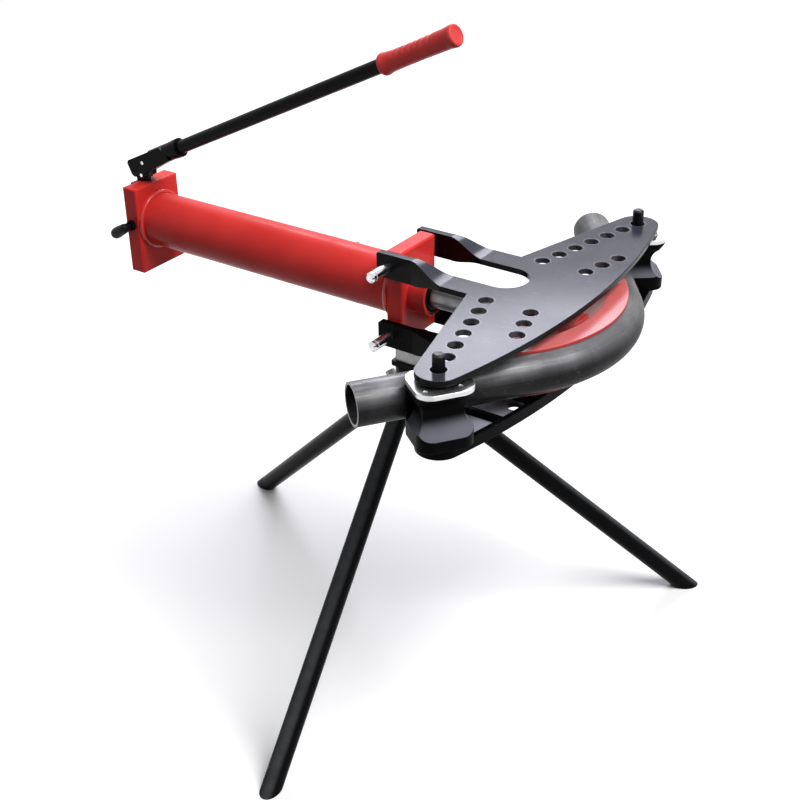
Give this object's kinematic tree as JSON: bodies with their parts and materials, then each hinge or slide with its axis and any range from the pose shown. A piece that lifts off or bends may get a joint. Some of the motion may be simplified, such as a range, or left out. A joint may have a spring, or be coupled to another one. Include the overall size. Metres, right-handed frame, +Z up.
{
  "type": "hydraulic pipe bender",
  "caption": "Hydraulic pipe bender on a tripod: a lever pump drives a ram and grooved former against two swivelling supports between perforated wings.",
  "frame": {"origin": "on the floor, under the middle of the front block", "axes": "+X is the way the ram pushes, +Y is towards the far wing, +Z is up"},
  "size_m": [0.9509, 0.8609, 1.0084],
  "materials": {
    "red_paint": "gloss paint",
    "former_red": "gloss paint on a casting",
    "black_paint": "gloss paint",
    "wing_paint": "satin grey-black paint",
    "bright_steel": "polished",
    "zinc_steel": "zinc plated",
    "dark_steel": "oiled",
    "pipe_steel": "mill scale",
    "spring_steel": "oiled",
    "brass": "turned",
    "rubber": "matte",
    "grip_red": "moulded",
    "knob_black": "moulded"
  },
  "bodies": {
    "frame": {"front_block": "red_paint", "reservoir_tube": "red_paint", "pressure_cylinder": "dark_steel", "gland_bush": "brass", "wiper_ring": "rubber", "filler_plug": "zinc_steel", "pump_block": "red_paint", "plunger_gland": "dark_steel", "plunger_seal": "rubber", "fulcrum_bracket": "black_paint", "bracket_screws": "zinc_steel", "fulcrum_pin": "black_paint", "valve_plugs": "zinc_steel", "release_gland": "zinc_steel", "return_spring": "spring_steel", "lower_wing": "black_paint", "tripod_post": "zinc_steel", "tripod_head": "black_paint", "leg_screws": "zinc_steel", "near_leg": "black_paint", "far_leg": "black_paint", "rear_leg": "black_paint", "near_foot": "rubber", "far_foot": "rubber", "rear_foot": "rubber"},
    "lever": {"lever_head": "black_paint", "lever_tube": "black_paint", "lever_grip": "grip_red", "fork_pin": "bright_steel", "plunger_pin": "bright_steel"},
    "plunger": {"pump_plunger": "bright_steel"},
    "release": {"release_spindle": "zinc_steel", "release_knob": "knob_black"},
    "ram": {"ram": "bright_steel", "piston": "dark_steel", "piston_seal": "rubber", "piston_bolt": "zinc_steel", "bending_former": "former_red", "bent_pipe": "pipe_steel"},
    "upper_wing": {"upper_wing": "wing_paint"},
    "upper_pin": {"upper_wing_pin": "bright_steel"},
    "lower_pin": {"lower_wing_pin": "bright_steel"},
    "near_support": {"near_support": "black_paint", "near_support_cap": "bright_steel", "near_cap_screws": "zinc_steel", "near_support_pin": "black_paint"},
    "far_support": {"far_support": "black_paint", "far_support_cap": "bright_steel", "far_cap_screws": "zinc_steel", "far_support_pin": "black_paint"}
  },
  "joints": [
    {"name": "lever_swing", "type": "hinge", "parent": "frame", "child": "lever", "pos_m": [-0.549, 0, 0.683], "axis": [0, -1, 0], "range_deg": [-18, 40]},
    {"name": "plunger_slide", "type": "slide", "parent": "frame", "child": "plunger", "axis": [0, 0, 1], "range_m": [-0.005, 0.011]},
    {"name": "release_turn", "type": "hinge", "parent": "frame", "child": "release", "pos_m": [-0.531, -0.051, 0.604], "axis": [0, 1, 0], "range_deg": [-90, 0]},
    {"name": "ram_slide", "type": "slide", "parent": "frame", "child": "ram", "axis": [1, 0, 0], "range_m": [-0.1, 0], "deforming": ["return_spring"]},
    {"name": "near_support_swivel", "type": "hinge", "parent": "frame", "child": "near_support", "pos_m": [0.23435, -0.28244, 0.602], "axis": [0, 0, 1], "range_deg": [0, 25.2]},
    {"name": "far_support_swivel", "type": "hinge", "parent": "frame", "child": "far_support", "pos_m": [0.23435, 0.28244, 0.602], "axis": [0, 0, 1], "range_deg": [-25.2, 0]},
    {"name": "upper_wing_fold", "type": "hinge", "parent": "frame", "child": "upper_wing", "pos_m": [0, 0, 0.658], "axis": [0, -1, 0], "range_deg": [0, 70]},
    {"name": "upper_pin_pull", "type": "slide", "parent": "frame", "child": "upper_pin", "axis": [0, -1, 0], "range_m": [0, 0.12]},
    {"name": "lower_pin_pull", "type": "slide", "parent": "frame", "child": "lower_pin", "axis": [0, -1, 0], "range_m": [0, 0.12]}
  ],
  "couplings": [
    {"joint": "plunger_slide", "follows": "lever_swing", "m_per_rad": 0.015326},
    {"joint": "near_support_swivel", "follows": "ram_slide", "rad_per_m": -4.3633},
    {"joint": "far_support_swivel", "follows": "ram_slide", "rad_per_m": 4.3633}
  ]
}
